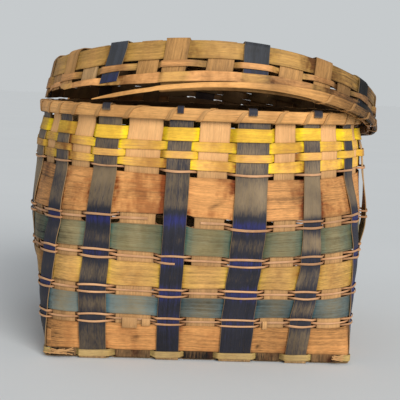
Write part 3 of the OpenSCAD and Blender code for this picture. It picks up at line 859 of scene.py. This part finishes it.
def splice(weave, n, seed):
    """Ends of a splint doubled over an upright."""
    for (a, b), (bottom, top) in SPLICES[n]:
        rows = []
        for j in range(5):
            z = lerp(bottom, top, j / 4)
            out = 1.8 + 0.9 * math.sin(math.pi * j / 4)
            rows.append(tuple(basket.point(k, z + basket_lift(k, z), out) for k in (a, (a + b) / 2, b)))
        looks = {"tone": lambda p: -0.22, "weights": [0.7] * len(rows)}
        weave.strip(placed(basket, rows), 2, seed + 5, lambda i: 0.5, **looks)


def left_shade_and_dirt(p):
    """How far a place lies in the basket's left end, which is darkened with painted shade and with dirt.
    """
    return ease((-128 - p.x / MM) / 25)


def basket_crossing(node, along_y, numbers, index, own, crossed, seed):
    weave = Weave()
    if along_y and index in FRAYS:
        fray(weave, index, seed)
    if along_y and index in SPLICES:
        splice(weave, index, seed)
    blue = numbers[0] % 2 == 1

    def fresh(n, z):
        return blue_fresh(n, z) if blue else 0.5

    def tone(p):
        z = p.z / MM
        if blue:
            return 0.25 * ease((z - 196) / 12) - 0.2 * (1 - ease((z - 30) / 20))
        foot, covered = 1 - ease((z - 8) / 6), 1 - ease((z - 185) / 45)
        # The left end is darkened with painted shade and dirt.
        return 0.3 - 0.48 * foot - 0.6 * covered - 0.25 * left_shade_and_dirt(p)

    def stain(p):
        return 1.0 if blue else 1 + 5 * (1 - ease((p.z / MM - 8) / 8))

    def bare(p):
        """The dye is missing at the foot, and where the loose upright has bowed out at the right."""
        z = p.z / MM
        loose = ease((z - 55) / 15) * ease((238 - z) / 12) if LOOSE in numbers and p.x > 0 else 0.0
        return max(loose, 1 - ease((z - 2.5) / 3)) if blue else 0.0

    marks = {"tone": tone, "stain": stain, "bare": bare, "tip": rim_tip(numbers[0])}
    shape = lambda n: RIM_Z - WEAVE_GAP, seed, FOLD, upright_bow, fresh
    crossing(weave, basket, along_y, numbers, index, *own, *crossed, *shape, **marks)
    weave.piece(node, "basket", "blue_splint" if blue else "natural_splint", SPLINT_T)


FRONT_N, SIDE_N = len(FRONT_WIDTHS), len(SIDE_WIDTHS)
fronts, sides = (front_x, FRONT_WIDTHS), (side_y, SIDE_WIDTHS)
for i in range(FRONT_N):
    numbers = i, 2 * FRONT_N + SIDE_N - 1 - i
    basket_crossing(f"front_upright_{i + 1}", True, numbers, i, fronts, sides, i + 1)
for j in range(SIDE_N):
    numbers = FRONT_N + j, 2 * (FRONT_N + SIDE_N) - 1 - j
    basket_crossing(f"side_upright_{j + 1}", False, numbers, j, sides, fronts, j + 21)


def waved_off(belly, missed=()):
    """Course of a weaver over the blue uprights, but for missed ones, and under the others."""

    def off(k, z):
        n, f = divmod(k, 2)
        beside = int(n), int(n + 1) % basket.count
        offs = [PASS if m % 2 and m not in missed else -PASS for m in beside]
        if f <= 1:
            here = offs[0] + math.copysign(belly, offs[0]) * math.sin(math.pi * f)
        else:
            here = lerp(*offs, ease(f - 1))
        return here + (loose_bow(k, z) if here > 0 else 0.0)

    return off


ROWS = (
    ("low_natural_weaver", "natural_weaver", 8, 0.75, 0.3),
    ("teal_weaver", "teal_splint", 6, 1.0, 0.18),
    ("wide_yellow_weaver", "wide_yellow_splint", 6, 1.0, 0.02),
    ("green_weaver", "green_splint", 6, 1.0, 0.0),
    ("high_natural_weaver", "natural_weaver", 10, 1.2, 0.3),
)
# Knots of the natural rows: edge and height
KNOTS = {
    "high_natural_weaver": ((8.65, 166), (8.75, 172)),
    "low_natural_weaver": ((12.05, 17.5), (4.6, 24)),
}


def row_tone(number, x):
    """Wide weavers are darker at the right, the lower ones more so; the teal is pale at the left."""
    if number == 1:
        return 0.6 * ease((-15 - x) / 50) - 0.26
    return -(0.26 if number < 3 else 0.14) * ease((x - 15) / 65)


for number, (node, slot, across, stain, lasting) in enumerate(ROWS):
    weave = Weave()
    knots = [placed(basket, [(basket.point(k, z, 0),)])[0][0] for k, z in KNOTS.get(node, ())]

    def knotted(p, knots=knots, number=number):
        """Dark knots, and a darker left end with painted shade and dirt."""
        shaded = 0.4 * left_shade_and_dirt(p) - row_tone(number, p.x / MM)
        return -shaded - sum(0.75 * math.exp(-((p - knot).length / (2.6 * MM)) ** 2) for knot in knots)

    marks = {"lasting": lasting, "stain": lambda p, stain=stain: stain, "tone": knotted}
    rows = low(node), high(node)
    weaver(weave, basket, *rows, still, across, 31 + number, basket_lift, wander=0.7, **marks)
    weave.piece(node, "basket", slot, SPLINT_T)

# Yellow weavers from the lowest up: how well the dye has lasted, and the tone
YELLOWS = ((0.0, 0.22), (-0.05, 0.05), (0.1, 0.13), (0.42, 0.22))
for i, (lasting, shade) in enumerate(YELLOWS):
    node = f"yellow_weaver_{i + 1}"
    weave = Weave()
    off = waved_off(0.3) if i % 2 else still

    def yellow_stain(p, i=i):
        return 1.3 - 0.15 * i + 0.8 * left_shade_and_dirt(p)

    def yellow_tone(p, shade=shade):
        # The left end is darkened with painted shade and dirt.
        return shade - 0.4 * left_shade_and_dirt(p)

    marks = {"exposed": i % 2, "lasting": lasting, "stain": yellow_stain, "tone": yellow_tone}
    weaver(weave, basket, low(node), high(node), off, 4, 41 + i, basket_lift, wander=0.5, **marks)
    weave.piece(node, "basket", "yellow_splint", SPLINT_T)

# Narrow weavers, by band and row: those that slip behind uprights, and the ends of those that have broken
MISSED = {(3, 0): (1, 3), (3, 2): (3, 5)}
BROKEN = {(2, 0): (8.0, 6.75 + 2 * basket.count), (3, 1): (8.1, 4.9 + 2 * basket.count)}


def sagging(row, missed, seed):
    """Rise of a narrow weaver, which springs apart over the blue uprights and slips behind some."""

    def lift(k, z):
        n, f = divmod(k, 2)
        spring = math.sin(math.pi * clamp(f)) if int(n) % 2 else 0.0
        slipped = max((ease(1.9 - abs(k - 2 * m - 0.5)) for m in missed), default=0.0)
        apart = spring * (0.5 * (row - 1) + 0.9 * ripple(n, seed, 1.7))
        return basket_lift(k, z) + apart + 4.0 * slipped * (row - 1)

    return lift


for i in range(5):
    node = f"narrow_band_{i + 1}"
    weave = Weave()
    bottom, top = low(node), high(node)
    count = 1 if i == 4 else 3
    width = (top - bottom - ROW_GAP * (count - 1)) / count
    for row in range(count):
        z = bottom + row * (width + ROW_GAP)
        missed = MISSED.get((i, row), ())
        off = still if row % 2 else waved_off(0.6, missed)
        seed = 51 + 3 * i + row
        lift, ends = sagging(row, missed, seed), BROKEN.get((i, row))
        course = {"lift": lift, "wander": 0.35, "crown": 0.3, "ends": ends}
        weaver(weave, basket, z + 0.35, z + width - 0.35, off, 2, seed, exposed=1 - row % 2, **course)
    weave.piece(node, "basket", "narrow_splint", NARROW_T, 0.25)

weave = Weave()
rows = low("base_weaver"), high("base_weaver")
weaver(weave, basket, *rows, waved_off(0.3), 3, 71, basket_lift, wander=0.9, exposed=1)
weave.piece("base_weaver", "basket", "pale_yellow_splint", NARROW_T)

for node, off, crown in (("rim_outer_hoop", HOOP_OFF, 0.7), ("rim_inner_hoop", -HOOP_OFF, -0.7)):
    weave = Weave()
    stops = ring_stops(0, basket.count)
    hoop(weave, basket, stops, HOOP_Z, RIM_Z, off, 73 + crown, crown, True, tone=lambda p: 0.22)
    weave.piece(node, "basket", "rim_wood", HOOP_T, 0.7)

weave = Weave()
lashing(weave, basket, 0, basket.count - 1, HOOP_Z, RIM_Z, 75, True)
weave.piece("rim_lashing", "basket", "lashing_splint", LASH_T)


# Lid


def lid_end(n):
    """Height of a lid splint's end: inside the hoops, or past the last weaver where they are lost."""
    if 2 <= n <= 10:
        return LID_EDGE[1] + (3.5 if n < 7 else (-0.5 if n == 7 else -4.2))
    held = n <= INNER_LAST or n >= HELD_FIRST + 4 * LID_N
    return LID_H - WEAVE_GAP if held else LID_EDGE[1]


def lid_tone(p):
    """The lid is browner and darker to the right, and darker at its left end."""
    x = p.x / MM
    return 0.06 - 0.55 * ease((x - 85) / 95) - 0.1 * ease((-95 - x) / 55) - 0.2 * ease((-160 - x) / 12)


def strip_tone(p):
    """The split strip at the lid's edge is paler at the left, and dark at the far right."""
    return 0.48 + lid_tone(p) - 0.62 * ease((p.x / MM - 15) / 45) - 0.2 * ease((p.x / MM - 135) / 40)


def lid_blue_tone(p):
    """The lid's blue is darker right of the middle."""
    return lid_tone(p) - 0.45 * ease((p.x / MM - 20) / 30)


def blue_bare(p):
    """The blue has worn off the lid's splint at the front left."""
    return ease((-80 - p.x / MM) / 20)


for side in (0, 1):
    for i in range(LID_N):
        along_y = side == 0
        numbers = (i, 3 * LID_N - 1 - i) if along_y else (LID_N + i, 4 * LID_N - 1 - i)
        blue = i % 4 == (3 if along_y else 0)

        def lid_fresh(n, z, blue=blue):
            return 0.4 + 0.45 * ease((z - 24) / 8) if blue else 0.5

        weave = Weave()
        own = lid_lines, LID_WIDTHS
        seed = 81 + i + 10 * side
        worn = blue and not along_y and i == 0
        marks = {"tone": lid_blue_tone if blue else lid_tone, "bare": blue_bare if worn else still}
        shape = lid_end, seed, LID_FOLD, still, lid_fresh
        crossing(weave, lid, along_y, numbers, i, *own, *own, *shape, **marks)
        node = f"lid_{'front' if along_y else 'side'}_splint_{i + 1}"
        weave.piece(node, "lid", "lid_blue_splint" if blue else "lid_splint", SPLINT_T)


def lid_waved(k, z):
    """Course of the lid's narrow weaver over the splints that stand out and under the others."""
    n, f = divmod(k, 2)
    offs = [PASS if m % 2 else -PASS for m in (int(n), int(n + 1))]
    return offs[0] if f <= 1 else lerp(*offs, ease(f - 1))


def in_front(k):
    """How far a place lies in the stretch over which the split strip covers every splint."""
    n = (k - 0.5) / 2
    n = n - 4 * LID_N if n > 2 * LID_N else n
    return ease((n + 1.2) / 0.7) * ease((9.6 - n) / 0.8)


def edge_off(k, z):
    """The strip lies outside the splints in front, but for the blue one at the left."""
    return PASS * in_front(k) * (1 - math.exp(-(((k - 0.5) / 2 - 7) / 0.55) ** 4))


def edge_lift(k, z):
    """The strip hangs lower in front, and lower still where the hoop has split from it."""
    n = (k - 0.5) / 2
    lower = z > (LID_EDGE[0] + LID_EDGE[1]) / 2
    sprung_part = ease((n - 0.8) / 1.8) if n < 2 * LID_N else 0.0
    front = in_front(k) * lerp(1.0 if lower else 2.6, 5.2 if lower else 3.4, sprung_part)
    back_left = ease((n - 13) / 3) * ease((19.5 - n) / 2)
    taper = ease((n - 5.5) / 3) * ease((11.5 - n) / 1.5)
    return front + (5.0 * back_left - 6.5 * taper if lower else -1.6 * taper)


def narrow_lift(k, z):
    """The narrow strip hangs lower in front; at the back its edges lie close to its neighbours."""
    lower = z > (LID_NARROW[0] + LID_NARROW[1]) / 2
    close = LID_EDGE[0] - LID_NARROW[1] if lower else LID_WIDE[1] - LID_NARROW[0]
    return lerp(close * (1 - in_front(k)), 1.8, in_front(k))


def lid_stain(p):
    """A large stain at the right of the lid's front."""
    return 1.0 + (1.5 * math.exp(-((p.x / MM - 88) / 24) ** 2) if p.y < 0 else 0.0)


LID_ROWS = (
    ("lid_wide_weaver", LID_WIDE, still, still, 0, lid_tone, 0.3),
    ("lid_narrow_weaver", LID_NARROW, lid_waved, narrow_lift, 1, lid_tone, -0.3),
    ("lid_edge_weaver", LID_EDGE, edge_off, edge_lift, 0, strip_tone, -0.7),
)
for node, rows, off, lift, exposed, tone, lasting in LID_ROWS:
    weave = Weave()
    marks = {"exposed": exposed, "tone": tone, "stain": lid_stain, "lasting": lasting}
    weaver(weave, lid, *rows, off, 6, 101 + rows[0], lift, wander=0.6, **marks)
    weave.piece(node, "lid", "lid_weaver", SPLINT_T)


def sprung(k):
    """How far the lid's outer hoop has sprung loose."""
    return max(0, (k / 2 - SPRUNG_FIRST) / (HOOP_LAST + 0.5 - SPRUNG_FIRST))


def hoop_stops(first, last):
    return [lerp(2 * first, 2 * last + 1, i / 240) for i in range(241)]


weave = Weave()
stops = hoop_stops(HOOP_FIRST, HOOP_LAST)
hoop(weave, lid, stops, LID_HOOP_Z, LID_H, HOOP_OFF, 111, 0.6, False, sprung, tone=strip_tone)
weave.piece("lid_outer_hoop", "lid", "lid_hoop_wood", HOOP_T, 0.6)
weave = Weave()
stops = hoop_stops(INNER_FIRST, INNER_LAST)
hoop(weave, lid, stops, LID_HOOP_Z, LID_H, -HOOP_OFF, 112, -0.6, False)
weave.piece("lid_inner_hoop", "lid", "lid_hoop_wood", HOOP_T, 0.6)
weave = Weave()
lashing(weave, lid, INNER_FIRST + 1, LASH_LAST, LID_HOOP_Z, LID_H, 113, False, tone=lid_tone)
weave.piece("lid_lashing", "lid", "lashing_splint", LASH_T)


# Stage, light and camera

BACKGROUND = "c6cacc"
SKY, SKY_STRENGTH = (0.95, 0.97, 1.0, 1), 0.42
KEY_ENERGY, KEY_SPREAD, KEY_AIM = 2.5, 40, (-0.6, 1.5, -0.9)
LENS = 86.94
CAMERA_TURN, CAMERA_PLACE = (-2.91, 6.51, 2.34), (-0.055, -1.1395, 0.2828)
floor_mesh = bpy.data.meshes.new("floor")
bm = bmesh.new()
bmesh.ops.create_grid(bm, x_segments=1, y_segments=1, size=30)
bm.to_mesh(floor_mesh)
bm.free()
floor = bpy.data.objects.new("floor", floor_mesh)
bpy.context.scene.collection.objects.link(floor)
paper = Paint("floor_paper")
paper_place = paper.node("ShaderNodeTexCoord", None, None, out="Object")
paper_shade = paper.noise(paper_place, 3, 2)
paper.wire("Base Color", paper.mix(paper_shade, colour("dbdfe1"), colour("d6dadc")))
paper.wire("Roughness", 1.0)
paper.wire("Specular IOR Level", 0.0)
floor.data.materials.append(paper.material)

world = bpy.data.worlds.new("studio")
bpy.context.scene.world = world
world.use_nodes = True
tree = world.node_tree
sky = tree.nodes["Background"]
sky.inputs["Color"].default_value = SKY
sky.inputs["Strength"].default_value = SKY_STRENGTH
seen = tree.nodes.new("ShaderNodeBackground")
seen.inputs["Color"].default_value = colour(BACKGROUND)
ray = tree.nodes.new("ShaderNodeLightPath")
either = tree.nodes.new("ShaderNodeMixShader")
tree.links.new(ray.outputs["Is Camera Ray"], either.inputs[0])
tree.links.new(sky.outputs[0], either.inputs[1])
tree.links.new(seen.outputs[0], either.inputs[2])
tree.links.new(either.outputs[0], tree.nodes["World Output"].inputs["Surface"])

key_data = bpy.data.lights.new("key_light", "SUN")
key_data.energy = KEY_ENERGY
key_data.angle = math.radians(KEY_SPREAD)
key_data.color = (1.0, 0.98, 0.95)
key = bpy.data.objects.new("key_light", key_data)
key.rotation_euler = Vector(KEY_AIM).to_track_quat("-Z", "Y").to_euler()
bpy.context.scene.collection.objects.link(key)

camera_data = bpy.data.cameras.new("camera")
camera_data.sensor_width = 36
camera_data.lens = LENS
camera = bpy.data.objects.new("camera", camera_data)
yaw, pitch, roll = (math.radians(d) for d in CAMERA_TURN)
ahead = Vector((-math.sin(yaw) * math.cos(pitch), math.cos(yaw) * math.cos(pitch), -math.sin(pitch)))
right = ahead.cross(Vector((0, 0, 1))).normalized()
upward = right.cross(ahead)
cos_roll, sin_roll = math.cos(roll), math.sin(roll)
turned = right * cos_roll + upward * sin_roll, upward * cos_roll - right * sin_roll
pose = Matrix((*turned, -ahead)).transposed().to_4x4()
pose.translation = Vector(CAMERA_PLACE)
camera.matrix_world = pose
bpy.context.scene.collection.objects.link(camera)
bpy.context.scene.camera = camera
bpy.context.scene.view_settings.view_transform = "Standard"
